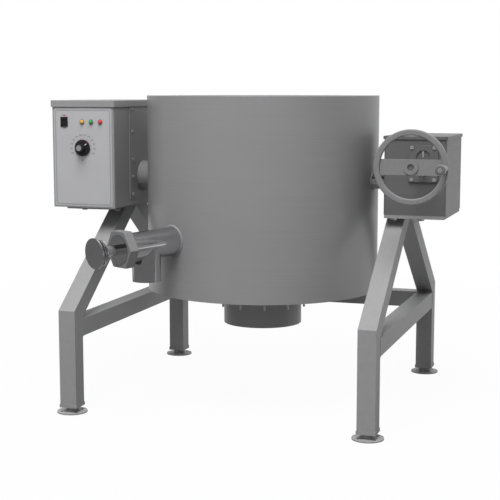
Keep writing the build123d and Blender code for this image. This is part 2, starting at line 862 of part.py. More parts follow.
def make_spinner_pin():
    length = handwheel_front - spinner_front
    pin = rod(spinner_pin_r, -handwheel_thick, length - 12)
    return Pos(gear_x, handwheel_front, worm_z) * Rot(90, 0, 0) * Pos(handwheel_mean_r, 0, 0) * pin


def make_spinner():
    length = handwheel_front - spinner_front
    points = [(spinner_base_r, spinner_gap), (spinner_base_r + 1, spinner_gap + 18), (spinner_r, length - 22)]
    edges = [
        Line((0, spinner_gap), points[0]),
        Spline(*points),
        Line(points[-1], (spinner_r, length - 4)),
        ThreePointArc((spinner_r, length - 4), (spinner_r - 1.2, length - 1.2), (spinner_r - 4, length)),
        Line((spinner_r - 4, length), (0, length)),
        Line((0, length), (0, spinner_gap)),
    ]
    grip = revolve(Plane.XZ * make_face(edges), Axis.Z)
    grip -= rod(spinner_pin_r + running, 0, length - 11)
    return Pos(gear_x, handwheel_front, worm_z) * Rot(90, 0, 0) * Pos(handwheel_mean_r, 0, 0) * grip


# Jacket fittings at the back of the kettle
def back_place(turn):
    """A place on the kettle's back, with Z pointing straight out of the shell."""
    return Pos(0, kettle_y, fitting_z) * Rot(0, 0, turn) * Rot(-90, 0, 0)


def make_gauge():
    start = jacket_outer_r
    body = rod(fitting_pipe_r, start, shell_r + gauge_reach)
    body += rod(gauge_r, shell_r + gauge_reach, shell_r + gauge_reach + gauge_depth)
    body -= rod(gauge_r - 2.5, shell_r + gauge_reach + gauge_depth - 3, shell_r + gauge_reach + gauge_depth + 1)
    return back_place(-fitting_turn) * body


def make_safety_valve():
    start = jacket_outer_r
    body = rod(fitting_pipe_r, start, shell_r + 16)
    body += Pos(0, 0, shell_r + 16) * extrude(RegularPolygon(18, 6), 12)
    body += rod(13, shell_r + 28, shell_r + 44)
    body += Pos(0, 0, shell_r + 22) * Rot(-90, 0, 0) * rod(9, 0, 34)
    body += block(-3, 3, -4, 34, shell_r + 44, shell_r + 47)
    return back_place(fitting_turn) * body


def round_screw():
    screw = rod(screw_head_r, 0, screw_head_h) + rod(screw_r - screw_clear, -9, 0)
    return fillet(screw.edges().group_by(Axis.Z)[-1], screw_head_h * 0.6)


def bolts(places_x, place_y):
    shapes = []
    for x in places_x:
        for y in (-place_y, place_y):
            head = extrude(RegularPolygon(bolt_head_r, 6), bolt_head_h)
            shank = rod(bolt_r - screw_clear, bolt_head_h, bolt_head_h + plate_thick + 9)
            shapes.append(Pos(x, y, leg_top - bolt_head_h) * (head + shank))
    return shapes


def make_mount_plate(x0, x1, half_y, bolt_x, bolt_y):
    plate = block(x0, x1, -half_y, half_y, leg_top, plate_top)
    for x in bolt_x:
        for y in (-bolt_y, bolt_y):
            plate -= Pos(x, y, 0) * rod(bolt_r, leg_top - 1, plate_top + 1)
    return plate


nodes = {}

leg = make_leg()
foot_spots = {}
for side_name, x0 in (("left", -frame_half_x), ("right", frame_inner_x)):
    nodes[f"front_{side_name}_leg"] = Pos(x0, 0, 0) * leg
    nodes[f"rear_{side_name}_leg"] = mirror(Pos(x0, 0, 0) * leg, about=Plane.XZ)
    inside = 2 * (frame_half_y - tube)
    nodes[f"{side_name}_cross_tube"] = Pos(x0 + tube / 2, 0, cross_z + tube / 2) * make_cross_tube(inside)
    for end_name, end in (("front", -1), ("rear", 1)):
        foot_spots[f"{end_name}_{side_name}"] = Pos(x0 + tube / 2, end * (frame_half_y - tube / 2), 0)
rear_place = Pos(0, frame_half_y - tube / 2, cross_z + tube / 2) * Rot(0, 0, 90)
nodes["rear_cross_tube"] = rear_place * make_cross_tube(2 * frame_inner_x)
nodes["leg_sockets"] = [spot * make_socket() for spot in foot_spots.values()]
for name, spot in foot_spots.items():
    nodes[f"{name}_foot"] = spot * make_foot()

left_plate_x0 = -box_outer_x + left_plate_inset
nodes["left_mount_plate"] = make_mount_plate(
    left_plate_x0, -frame_inner_x, left_plate_half_y, box_bolt_x, box_bolt_y,
)
right_plate_x1 = gearbox_x1 - right_plate_inset
nodes["right_mount_plate"] = make_mount_plate(
    frame_inner_x, right_plate_x1, gearbox_depth / 2, gearbox_bolt_x, gearbox_bolt_y,
)

nodes["control_box"] = make_control_box()
nodes["control_box_lid"] = make_control_lid()
nodes["service_panel"] = make_service_panel()
nodes["service_panel_screws"] = [place * round_screw() for place in panel_screws()]
nodes["label_plate"] = make_label_plate()
for colour, x in lamp_x.items():
    nodes[f"{colour}_lamp"] = make_lamp(x)
nodes["switch_frame"] = make_switch_frame()
nodes["switch_rocker"] = make_rocker()
nodes["thermostat_knob"] = make_knob()
nodes["thermostat_knob_cap"] = make_knob_cap()
nodes["thermostat"] = make_thermostat()
nodes["contactor"] = make_contactor()
nodes["conduit_hub"] = make_conduit_hub()
nodes["left_bearing_block"] = make_bearing_block()

nodes["gearbox_housing"] = make_gearbox()
nodes["gearbox_lid"] = make_gearbox_lid()
nodes["bearing_plate"] = make_bearing_plate()
nodes["bearing_plate_screws"] = [place * round_screw() for place in gearbox_screws()]
nodes["gearbox_bushes"] = make_worm_bushes() + make_trunnion_bushes()
nodes["mounting_bolts"] = bolts(box_bolt_x, box_bolt_y) + bolts(gearbox_bolt_x, gearbox_bolt_y)

nodes["worm_shaft"] = make_worm_shaft()
nodes["handwheel"] = make_handwheel()
nodes["spinner_pin"] = make_spinner_pin()
nodes["spinner_handle"] = make_spinner()

nodes["bowl"] = make_bowl()
nodes["kettle_rim"] = make_rim()
nodes["steam_jacket"] = make_jacket()
nodes["outer_shell"] = make_outer_shell()
nodes["base_plate"] = make_base_plate()
nodes["element_sump"] = make_sump()
nodes["element_plate"] = make_element_plate()
nodes["heating_elements"] = [
    at_kettle(spot * make_element()) for spot in PolarLocations(element_circle_r, element_count)
]
nodes["base_studs"] = make_studs()
nodes["left_trunnion"] = make_left_trunnion()
nodes["right_trunnion"] = make_right_trunnion()
nodes["worm_wheel"] = make_worm_wheel()
nodes["valve_body"] = make_valve_body()
nodes["valve_nut"] = make_valve_nut()
nodes["valve_bonnet"] = make_bonnet()
nodes["valve_plunger"] = make_plunger()
nodes["plunger_seal"] = make_plunger_seal()
nodes["pull_handle"] = make_pull_handle()
nodes["pressure_gauge"] = make_gauge()
nodes["safety_valve"] = make_safety_valve()

# The origin moves to the middle of the bounding box at floor level
shapes = {name: Compound(shape) if isinstance(shape, list) else shape for name, shape in nodes.items()}
limits = Compound(list(shapes.values())).bounding_box()
centre = limits.center()
shift = Pos(-centre.X, -centre.Y, 0)
os.makedirs("parts", exist_ok=True)
for name, shape in shapes.items():
    export_step(shift * shape, f"parts/{name}.step")
print("nodes", len(shapes))
print("size", limits.size, "floor", limits.min.Z)
print("origin shift", -centre.X, -centre.Y)
print("worm axis z", worm_z, "draw-off direction", valve_plane.z_dir)
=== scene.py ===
import bpy
import bmesh
import json
import math
from mathutils import Matrix, Vector


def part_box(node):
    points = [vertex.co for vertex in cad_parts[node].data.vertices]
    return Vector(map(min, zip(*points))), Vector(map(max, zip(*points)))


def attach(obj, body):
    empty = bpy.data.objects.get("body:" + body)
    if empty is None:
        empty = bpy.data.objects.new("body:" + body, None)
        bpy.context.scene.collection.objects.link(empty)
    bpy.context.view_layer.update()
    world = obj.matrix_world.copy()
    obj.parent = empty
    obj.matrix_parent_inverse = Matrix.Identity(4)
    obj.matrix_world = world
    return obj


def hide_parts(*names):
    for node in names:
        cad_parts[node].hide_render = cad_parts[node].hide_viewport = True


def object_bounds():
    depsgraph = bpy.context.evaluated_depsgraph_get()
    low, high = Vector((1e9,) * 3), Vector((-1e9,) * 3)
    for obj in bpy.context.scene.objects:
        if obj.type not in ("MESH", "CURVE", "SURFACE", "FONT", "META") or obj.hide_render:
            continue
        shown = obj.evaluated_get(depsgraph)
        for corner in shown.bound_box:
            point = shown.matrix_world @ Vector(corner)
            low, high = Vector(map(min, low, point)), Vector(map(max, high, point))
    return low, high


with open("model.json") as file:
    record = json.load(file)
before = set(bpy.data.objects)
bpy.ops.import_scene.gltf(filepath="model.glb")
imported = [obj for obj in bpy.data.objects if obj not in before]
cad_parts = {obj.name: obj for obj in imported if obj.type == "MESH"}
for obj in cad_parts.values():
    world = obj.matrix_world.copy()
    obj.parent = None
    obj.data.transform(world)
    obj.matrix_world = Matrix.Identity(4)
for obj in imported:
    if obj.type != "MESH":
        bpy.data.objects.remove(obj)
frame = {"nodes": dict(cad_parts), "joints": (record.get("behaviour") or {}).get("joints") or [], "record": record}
nodes = frame["nodes"]
cadLow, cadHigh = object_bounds()
print("frame loaded:", len(nodes), "nodes")


# What the picture is taken with, in metres and degrees
camera = {"place": (1.1209, -3.4419, 0.9189), "lens": 86.82, "turn": 18.58, "down": 7.46}
lights = {
    "key": {"place": (0.1, -2.3, 4.6), "size": 3.0, "power": 360},
    "fill": {"place": (-3.4, -2.2, 1.6), "size": 3.0, "power": 10},
    "rear": {"place": (1.8, 3.0, 2.6), "size": 2.4, "power": 60},
}
room = {
    "nearGlow": 0.965, "floorTone": 0.35, "floorFade": (1.0, 3.0), "floorReach": 30.0, "floorDrop": 0.0005,
    "mirrorFade": (-0.3, 1.0), "frontMirror": 0.16,
}
# What lights the object by height, and what its metal mirrors by height in front of it and behind it
sky = {"stops": [(0.0, 0.22), (0.5, 0.28), (0.62, 0.36), (0.80, 0.80), (1.0, 1.2)], "leftward": 0.05}
mirrored = {
    "front": [(0.0, 0.20), (0.50, 0.22), (0.64, 0.20), (0.76, 0.03), (0.94, 0.05), (1.0, 0.5)],
    "back": [(0.0, 0.85), (0.5, 0.95), (0.85, 0.95), (1.0, 0.6)],
    "changeover": (0.05, 0.5),
}

# Tone is the linear grey of the bare metal, grain the streak scale along X, Y and Z
finishes = {
    "satin_stainless": {"tone": 0.205, "metal": 0.15, "rough": 0.38, "grain": (3, 3, 420), "scratch": 0.05},
    "frame_stainless": {"tone": 0.215, "metal": 0.10, "rough": 0.58, "grain": (60, 60, 60), "scratch": 0.05},
    "foot_steel": {"tone": 0.26, "metal": 0.15, "rough": 0.50, "grain": (90, 90, 90), "scratch": 0.08},
    "box_stainless": {"tone": 0.22, "metal": 0.12, "rough": 0.50, "grain": (4, 4, 300), "scratch": 0.06},
    "gearbox_steel": {"tone": 0.105, "metal": 0.20, "rough": 0.48, "grain": (5, 5, 200), "scratch": 0.06},
    "polished_steel": {"tone": 0.66, "metal": 1.0, "rough": 0.10, "grain": (40, 40, 40), "scratch": 0.03},
    "handwheel_iron": {"tone": 0.165, "metal": 0.12, "rough": 0.50, "grain": (120, 120, 120), "scratch": 0.10},
    "grip_steel": {"tone": 0.14, "metal": 0.3, "rough": 0.42, "grain": (150, 150, 150), "scratch": 0.08},
    "bearing_iron": {"tone": 0.10, "metal": 0.2, "rough": 0.55, "grain": (90, 90, 90), "scratch": 0.15},
    "fastener_steel": {"tone": 0.45, "metal": 0.6, "rough": 0.30, "grain": (300, 300, 300), "scratch": 0.06},
    "knob_cap": {"tone": 0.32, "metal": 0.5, "rough": 0.35, "grain": (500, 500, 500), "scratch": 0.05},
}
metalWear = {
    "streaks": 0.6, "clouds": 0.4, "dark": 0.86, "pale": 1.14, "roughSwing": 0.16, "scratchDepth": 0.0004,
}
paints = {
    "label_plate": {"colour": (0.315, 0.315, 0.325), "rough": 0.42, "grain": 900, "bump": 0.02},
    "black_plastic": {"colour": (0.012, 0.012, 0.013), "rough": 0.45, "grain": 1600, "bump": 0.10},
    "seal_rubber": {"colour": (0.02, 0.02, 0.02), "rough": 0.70, "grain": 700, "bump": 0.15},
    "bronze": {"colour": (0.45, 0.27, 0.10), "rough": 0.35, "grain": 400, "bump": 0.05},
}
lenses = {
    "amber_lens": (0.43, 0.25, 0.018),
    "green_lens": (0.010, 0.20, 0.033),
    "red_lens": (0.455, 0.010, 0.017),
}


class Signal:
    def __init__(self, paint, socket):
        self.paint = paint
        self.socket = socket

    def combine(self, operation, first, second=None):
        values = [first] if second is None else [first, second]
        return self.paint.add("ShaderNodeMath", {"operation": operation}, values)

    def __add__(self, other):
        return self.combine("ADD", self, other)

    def __sub__(self, other):
        return self.combine("SUBTRACT", self, other)

    def __mul__(self, other):
        return self.combine("MULTIPLY", self, other)

    def __rsub__(self, other):
        return self.combine("SUBTRACT", other, self)

    __radd__ = __add__
    __rmul__ = __mul__


class Paint:
    def __init__(self, tree):
        self.tree = tree

    def add(self, kind, settings, values=(), output=0):
        node = self.tree.nodes.new(kind)
        for name, value in settings.items():
            if name == "stops":
                self.setStops(node, value)
            else:
                setattr(node, name, value)
        pairs = values.items() if isinstance(values, dict) else enumerate(values)
        for key, value in pairs:
            self.feed(node.inputs[key], value)
        return Signal(self, node.outputs[output]) if len(node.outputs) else None

    def setStops(self, node, stops):
        ramp = node.color_ramp
        while len(ramp.elements) < len(stops):
            ramp.elements.new(0.5)
        for element, (place, tone) in zip(ramp.elements, stops):
            element.position = place
            element.color = (*tone, 1) if isinstance(tone, tuple) else (tone, tone, tone, 1)

    def feed(self, socket, value):
        if isinstance(value, Signal):
            self.tree.links.new(value.socket, socket)
        elif isinstance(value, tuple) and socket.type == "RGBA":
            socket.default_value = (*value, 1)
        else:
            socket.default_value = value

    def noise(self, place, scale, detail=3):
        inputs = {"Vector": place, "Scale": scale, "Detail": detail}
        return self.add("ShaderNodeTexNoise", {"noise_dimensions": "3D"}, inputs)

    def stretched(self, place, scales):
        return self.add("ShaderNodeVectorMath", {"operation": "MULTIPLY"}, [place, scales])

    def axis(self, vector, which):
        return self.add("ShaderNodeSeparateXYZ", {}, [vector], which)

    def ramp(self, factor, stops):
        return self.add("ShaderNodeValToRGB", {"stops": stops}, [factor])

    def mixColour(self, factor, first, second):
        return self.add(
            "ShaderNodeMix", {"data_type": "RGBA"}, {0: factor, 6: first, 7: second}, 2
        )


def newMaterial(name):
    material = bpy.data.materials.new(name)
    material.use_nodes = True
    material.node_tree.nodes.clear()
    paint = Paint(material.node_tree)
    shader = paint.add("ShaderNodeBsdfPrincipled", {})
    paint.add("ShaderNodeOutputMaterial", {}, {"Surface": shader})
    place = paint.add("ShaderNodeTexCoord", {}, output="Object")
    return material, paint, shader.socket.node, place


def grey(tone):
    return (tone, tone, tone * 1.015)


def metalFinish(name, values):
    material, paint, shader, place = newMaterial(name)
    streaks = paint.noise(paint.stretched(place, values["grain"]), 1.0, 4)
    clouds = paint.noise(place, 5.0, 2)
    tone = values["tone"]
    wear = streaks * metalWear["streaks"] + clouds * metalWear["clouds"]
    colour = paint.mixColour(wear, grey(tone * metalWear["dark"]), grey(tone * metalWear["pale"]))
    paint.feed(shader.inputs["Base Color"], colour)
    paint.feed(shader.inputs["Metallic"], values["metal"])
    swing = metalWear["roughSwing"]
    paint.feed(shader.inputs["Roughness"], streaks * swing + (values["rough"] - swing / 2))
    bump = paint.add(
        "ShaderNodeBump", {},
        {"Strength": values["scratch"], "Distance": metalWear["scratchDepth"], "Height": streaks},
    )
    paint.feed(shader.inputs["Normal"], bump)
    return material


def paintFinish(name, values, metal=0.0):
    material, paint, shader, place = newMaterial(name)
    speckle = paint.noise(place, values["grain"], 2)
    clouds = paint.noise(place, 12.0, 2)
    base = values["colour"]
    dark = tuple(0.9 * c for c in base)
    paint.feed(shader.inputs["Base Color"], paint.mixColour(clouds, dark, base))
    paint.feed(shader.inputs["Metallic"], metal)
    paint.feed(shader.inputs["Roughness"], speckle * 0.15 + (values["rough"] - 0.07))
    bump = paint.add(
        "ShaderNodeBump", {}, {"Strength": values["bump"], "Distance": 0.0002, "Height": speckle}
    )
    paint.feed(shader.inputs["Normal"], bump)
    return material


def lensFinish(name, colour):
    material, paint, shader, place = newMaterial(name)
    rings = paint.noise(place, 300.0, 1)
    pale = tuple(0.06 + c for c in colour)
    paint.feed(shader.inputs["Base Color"], paint.mixColour(rings * 0.5, colour, pale))
    paint.feed(shader.inputs["Roughness"], 0.18)
    paint.feed(shader.inputs["Coat Weight"], 0.6)
    paint.feed(shader.inputs["Emission Color"], colour)
    paint.feed(shader.inputs["Emission Strength"], 0.06)
    return material


materials = {name: metalFinish(name, values) for name, values in finishes.items()}
for name, values in paints.items():
    materials[name] = paintFinish(name, values, 0.9 if name == "bronze" else 0.0)
for name, colour in lenses.items():
    materials[name] = lensFinish(name, colour)
slotOf = {part["node"]: part["material_slot"] for part in frame["record"]["subparts"]}
for name, node in nodes.items():
    node.data.materials.clear()
    node.data.materials.append(materials[slotOf[name]])
print("finishes:", len(materials))


def finishPiece(piece, body, slot, material=None):
    piece.data.materials.clear()
    piece.data.materials.append(material or materials[slot])
    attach(piece, body)


def linkPiece(name, data):
    piece = bpy.data.objects.new(name, data)
    bpy.context.scene.collection.objects.link(piece)
    return piece


def plainMesh(holder):
    # The evaluated mesh of a text or a modifier's result; its holder is then removed
    graph = bpy.context.evaluated_depsgraph_get()
    mesh = bpy.data.meshes.new_from_object(holder.evaluated_get(graph), depsgraph=graph)
    bpy.data.objects.remove(holder)
    return mesh


def meshPiece(name, verts, faces, place=None):
    mesh = bpy.data.meshes.new(name)
    mesh.from_pydata(verts, [], faces)
    if place is not None:
        mesh.transform(place)
    return linkPiece(name, mesh)


def tidyMesh(piece, smooth=True):
    work = bmesh.new()
    work.from_mesh(piece.data)
    bmesh.ops.remove_doubles(work, verts=work.verts, dist=1e-6)
    bmesh.ops.recalc_face_normals(work, faces=work.faces)
    work.to_mesh(piece.data)
    work.free()
    if smooth:
        for face in piece.data.polygons:
            face.use_smooth = True
        piece.data.set_sharp_from_angle(angle=math.radians(32))
    return piece


def block(name, corners, bottom, top, place):
    # Four corners in X and Y, drawn up from one height to another
    verts = [(x, y, z) for z in (bottom, top) for x, y in corners]
    faces = [(3, 2, 1, 0), (4, 5, 6, 7), (0, 1, 5, 4), (1, 2, 6, 5), (2, 3, 7, 6), (3, 0, 4, 7)]
    return tidyMesh(meshPiece(name, verts, faces, place), False)


def lathe(name, profile, place, segments, reach=None):
    # A closed (radius, height) outline turned about Z; reach limits the radius by angle
    verts = []
    faces = []
    for k in range(segments):
        angle = 2 * math.pi * k / segments
        for radius, height in profile:
            limited = min(radius, reach(angle)) if reach else radius
            verts.append((limited * math.cos(angle), limited * math.sin(angle), height))
    count = len(profile)
    for k in range(segments):
        for j in range(count):
            a = k * count + j
            b = k * count + (j + 1) % count
            c = (k + 1) % segments * count
            faces.append((a, b, c + (j + 1) % count, c + j))
    return tidyMesh(meshPiece(name, verts, faces, place))


def aimed(origin, direction):
    # A place whose Z runs along the direction
    z = Vector(direction).normalized()
    x = Vector((0, 0, 1)).cross(z)
    x = x.normalized() if x.length > 1e-6 else Vector((1, 0, 0))
    y = z.cross(x)
    turn = Matrix((x, y, z)).transposed().to_4x4()
    return Matrix.Translation(origin) @ turn


def middle(node):
    low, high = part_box(node)
    return (Vector(low) + Vector(high)) / 2


# Geometry Nodes
class Tree:
    def __init__(self, name, inputs):
        self.group = bpy.data.node_groups.new(name, "GeometryNodeTree")
        self.group.interface.new_socket("Geometry", in_out="INPUT", socket_type="NodeSocketGeometry")
        self.group.interface.new_socket("Geometry", in_out="OUTPUT", socket_type="NodeSocketGeometry")
        for label, kind in inputs.items():
            self.group.interface.new_socket(label, in_out="INPUT", socket_type="NodeSocket" + kind)
        self.source = self.group.nodes.new("NodeGroupInput")
        self.sink = self.group.nodes.new("NodeGroupOutput")

    def add(self, kind, settings, values=(), output=0):
        node = self.group.nodes.new(kind)
        for name, value in settings.items():
            setattr(node, name, value)
        pairs = values.items() if isinstance(values, dict) else enumerate(values)
        for key, value in pairs:
            if isinstance(value, bpy.types.NodeSocket):
                self.group.links.new(value, node.inputs[key])
            else:
                node.inputs[key].default_value = value
        return node.outputs[output]

    def given(self, label):
        return self.source.outputs[label]

    def end(self, geometry):
        real = self.add("GeometryNodeRealizeInstances", {}, {0: geometry})
        inputs = {"Geometry": real, "Material": self.given("Material")}
        dressed = self.add("GeometryNodeSetMaterial", {}, inputs)
        self.group.links.new(dressed, self.sink.inputs[0])

    def make(self, name, base, values, body, slot):
        holder = linkPiece(name + "Holder", base)
        modifier = holder.modifiers.new("tree", "NODES")
        modifier.node_group = self.group
        for item in self.group.interface.items_tree:
            if item.in_out == "INPUT" and item.name in values:
                modifier[item.identifier] = values[item.name]
        piece = linkPiece(name, plainMesh(holder))
        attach(piece, body)
        return piece


def screwTree():
    # A round head with a hexagon socket on each point, its Z turned to the point's normal
    tree = Tree("screws", {
        "Head radius": "Float", "Head height": "Float", "Socket": "Float", "Material": "Material",
    })
    head = tree.add(
        "GeometryNodeMeshCylinder", {"fill_type": "NGON"},
        {"Vertices": 28, "Radius": tree.given("Head radius"), "Depth": tree.given("Head height")},
    )
    socket = tree.add(
        "GeometryNodeMeshCylinder", {"fill_type": "NGON"},
        {"Vertices": 6, "Radius": tree.given("Socket"), "Depth": tree.given("Head height")},
    )
    half = tree.add("ShaderNodeMath", {"operation": "MULTIPLY"}, [tree.given("Head height"), 0.5])
    lift = tree.add("ShaderNodeCombineXYZ", {}, {"Z": half})
    raisedHead = tree.add("GeometryNodeTransform", {}, {"Geometry": head, "Translation": lift})
    deep = tree.add("ShaderNodeMath", {"operation": "MULTIPLY"}, [tree.given("Head height"), 0.9])
    deepLift = tree.add("ShaderNodeCombineXYZ", {}, {"Z": deep})
    raisedSocket = tree.add("GeometryNodeTransform", {}, {"Geometry": socket, "Translation": deepLift})
    screw = tree.add(
        "GeometryNodeMeshBoolean", {"operation": "DIFFERENCE", "solver": "EXACT"},
        {0: raisedHead, 1: raisedSocket},
    )
    normal = tree.add("GeometryNodeInputNamedAttribute", {"data_type": "FLOAT_VECTOR"}, {"Name": "aim"})
    turn = tree.add("FunctionNodeAlignRotationToVector", {"axis": "Z"}, {"Vector": normal})
    placed = tree.add(
        "GeometryNodeInstanceOnPoints", {},
        {"Points": tree.given("Geometry"), "Instance": screw, "Rotation": turn},
    )
    tree.end(placed)
    return tree


def ringTree():
    # Small bars standing in an arc about Y, for the marks of a dial
    tree = Tree("dialMarks", {
        "Count": "Int", "Radius": "Float", "Start": "Float", "Sweep": "Float",
        "Width": "Float", "Length": "Float", "Depth": "Float", "Material": "Material",
    })
    index = tree.add("GeometryNodeInputIndex", {})
    last = tree.add("ShaderNodeMath", {"operation": "SUBTRACT"}, [tree.given("Count"), 1.0])
    share = tree.add("ShaderNodeMath", {"operation": "DIVIDE"}, [index, last])
    swept = tree.add("ShaderNodeMath", {"operation": "MULTIPLY"}, [share, tree.given("Sweep")])
    angle = tree.add("ShaderNodeMath", {"operation": "ADD"}, [swept, tree.given("Start")])
    sine = tree.add("ShaderNodeMath", {"operation": "SINE"}, [angle])
    cosine = tree.add("ShaderNodeMath", {"operation": "COSINE"}, [angle])
    x = tree.add("ShaderNodeMath", {"operation": "MULTIPLY"}, [sine, tree.given("Radius")])
    z = tree.add("ShaderNodeMath", {"operation": "MULTIPLY"}, [cosine, tree.given("Radius")])
    place = tree.add("ShaderNodeCombineXYZ", {}, {"X": x, "Z": z})
    points = tree.add("GeometryNodePoints", {}, {"Count": tree.given("Count"), "Position": place})
    size = tree.add(
        "ShaderNodeCombineXYZ", {},
        {"X": tree.given("Width"), "Y": tree.given("Depth"), "Z": tree.given("Length")},
    )
    bar = tree.add("GeometryNodeMeshCube", {}, {"Size": size})
    turn = tree.add("ShaderNodeCombineXYZ", {}, {"Y": angle})
    placed = tree.add(
        "GeometryNodeInstanceOnPoints", {}, {"Points": points, "Instance": bar, "Rotation": turn}
    )
    tree.end(placed)
    return tree


def weldTree():
    # A rippled bead laid along a path
    tree = Tree("weldBead", {"Width": "Float", "Ripple": "Float", "Material": "Material"})
    path = tree.add("GeometryNodeMeshToCurve", {}, {"Mesh": tree.given("Geometry")})
    fine = tree.add("GeometryNodeResampleCurve", {"mode": "LENGTH"}, {"Curve": path, "Length": 0.0011})
    along = tree.add("GeometryNodeSplineParameter", {}, output="Length")
    phase = tree.add("ShaderNodeMath", {"operation": "DIVIDE"}, [along, tree.given("Ripple")])
    wave = tree.add("ShaderNodeMath", {"operation": "FRACT"}, [phase])
    swell = tree.add("ShaderNodeMath", {"operation": "MULTIPLY_ADD"}, [wave, 0.22, 0.78])
    rod = tree.add("GeometryNodeCurvePrimitiveCircle", {}, {"Resolution": 10, "Radius": tree.given("Width")})
    bead = tree.add(
        "GeometryNodeCurveToMesh", {},
        {"Curve": fine, "Profile Curve": rod, "Scale": swell, "Fill Caps": True},
    )
    smooth = tree.add("GeometryNodeSetShadeSmooth", {}, {0: bead})
    tree.end(smooth)
    return tree


def pointMesh(name, places, aims):
    mesh = bpy.data.meshes.new(name)
    mesh.from_pydata([tuple(p) for p in places], [], [])
    aim = mesh.attributes.new("aim", "FLOAT_VECTOR", "POINT")
    for k, direction in enumerate(aims):
        aim.data[k].vector = direction
    return mesh


def pathMesh(name, points, closed=False):
    count = len(points)
    edges = [(k, k + 1) for k in range(count - 1)]
    if closed:
        edges.append((count - 1, 0))
    mesh = bpy.data.meshes.new(name)
    mesh.from_pydata([tuple(p) for p in points], edges, [])
    return mesh


screws = screwTree()
marks = ringTree()
welds = weldTree()


def islands(node):
    # The separate solids of a node, as lists of points
    work = bmesh.new()
    work.from_mesh(nodes[node].data)
    bmesh.ops.remove_doubles(work, verts=work.verts, dist=1e-5)
    left = set(work.verts)
    groups = []
    while left:
        stack = [left.pop()]
        group = []
        while stack:
            vert = stack.pop()
            group.append(vert.co.copy())
            for edge in vert.link_edges:
                other = edge.other_vert(vert)
                if other in left:
                    left.remove(other)
                    stack.append(other)
        groups.append(group)
    work.free()
    return groups


def screwPoints(node, axis, sign):
    # Each screw's centre on the face its head sits on, found from its solid
    places = []
    for group in islands(node):
        low = Vector(min(p[k] for p in group) for k in range(3))
        high = Vector(max(p[k] for p in group) for k in range(3))
        centre = (low + high) / 2
        centre[axis] = high[axis] if sign > 0 else low[axis]
        places.append(centre)
    return places


# Panel and bearing plate screws
screwSize = {"head": 0.0050, "height": 0.0026, "socket": 0.0024}


def addScrews(node, axis, sign, body):
    aim = Vector((0, 0, 0))
    aim[axis] = sign
    places = [p - aim * screwSize["height"] for p in screwPoints(node, axis, sign)]
    mesh = pointMesh(node + "Places", places, [aim] * len(places))
    values = {
        "Head radius": screwSize["head"], "Head height": screwSize["height"],
        "Socket": screwSize["socket"], "Material": materials["fastener_steel"],
    }
    piece = screws.make(node + "_heads", mesh, values, body, "fastener_steel")
    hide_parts(node)


addScrews("service_panel_screws", 0, 1, "frame")
addScrews("bearing_plate_screws", 1, -1, "frame")
print("screws made")

# Hexagon nut of the draw-off valve, with its corners turned off
nutSize = {
    "corner": 0.0586, "length": 0.0280, "bore": 0.0414, "chamfer": 0.0015, "lip": 0.0050, "lipRadius": 0.0425,
    "steps": 180,
}
drawoff = Vector(next(joint for joint in frame["joints"] if joint["name"] == "plunger_slide")["axis"])


def addNut():
    place = aimed(middle("valve_nut"), drawoff)
    half = nutSize["length"] / 2
    corner, cut, bore = nutSize["corner"], nutSize["chamfer"], nutSize["bore"]
    flat = corner * math.cos(math.pi / 6)

    def hexagon(angle):
        inside = angle % (math.pi / 3) - math.pi / 6
        return flat / math.cos(inside)

    profile = [
        (bore, -half), (corner - cut, -half), (corner, -half + cut), (corner, half - cut),
        (corner - cut, half), (nutSize["lipRadius"], half), (nutSize["lipRadius"], half - nutSize["lip"]),
        (bore, half - nutSize["lip"]),
    ]
    nut = lathe("valve_nut_turned", profile, place, nutSize["steps"], hexagon)
    finishPiece(nut, "kettle", "satin_stainless", materials["handwheel_iron"])
    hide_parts("valve_nut")


addNut()

# Lamps
bezel = {
    "outer": 0.0076, "inner": 0.0063, "bottom": 0.0011, "edge": 0.0015, "height": 0.0018, "chamfer": 0.0008,
}
for lamp in ("amber_lamp", "green_lamp", "red_lamp"):
    centre = middle(lamp)
    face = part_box("label_plate")[0][1]
    place = aimed((centre.x, face, centre.z), (0, -1, 0))
    outline = [
        (bezel["inner"], bezel["bottom"]), (bezel["outer"], bezel["bottom"]), (bezel["outer"], bezel["edge"]),
        (bezel["outer"] - bezel["chamfer"], bezel["height"]), (bezel["inner"], bezel["height"]),
    ]
    ring = lathe(lamp + "_bezel", outline, place, 36)
    finishPiece(ring, "frame", "fastener_steel", materials["grip_steel"])

# Dial of the thermostat: marks, numbers and the knob's pointer line
dial = {
    "tickStart": -155, "tickSweep": 280, "ticks": 13, "tickRadius": 0.0285,
    "tickLength": 0.0034, "tickWidth": 0.0012,
    "numberStart": -115, "numberSweep": 230, "numbers": 12, "numberRadius": 0.0385, "numberSize": 0.0056,
    "firstNumber": 100, "numberStep": 20, "degreeSize": 0.0110, "degreeDrop": 0.0405, "thick": 0.00012,
}


def inkFinish(name, colour):
    return paintFinish(name, {"colour": colour, "rough": 0.5, "grain": 900, "bump": 0.01})


redInk = inkFinish("red_ink", (0.36, 0.02, 0.03))
blackInk = inkFinish("black_ink", (0.03, 0.03, 0.03))
greyInk = inkFinish("grey_ink", (0.10, 0.10, 0.11))
whiteInk = inkFinish("white_ink", (0.75, 0.75, 0.74))
plateLow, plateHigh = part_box("label_plate")
knobCentre = Vector((middle("thermostat_knob").x, plateLow[1], middle("thermostat_knob").z))


def onPlate(piece, x, z, lift=0.0):
    piece.data.transform(Matrix.Translation((x, plateLow[1] - lift, z)))


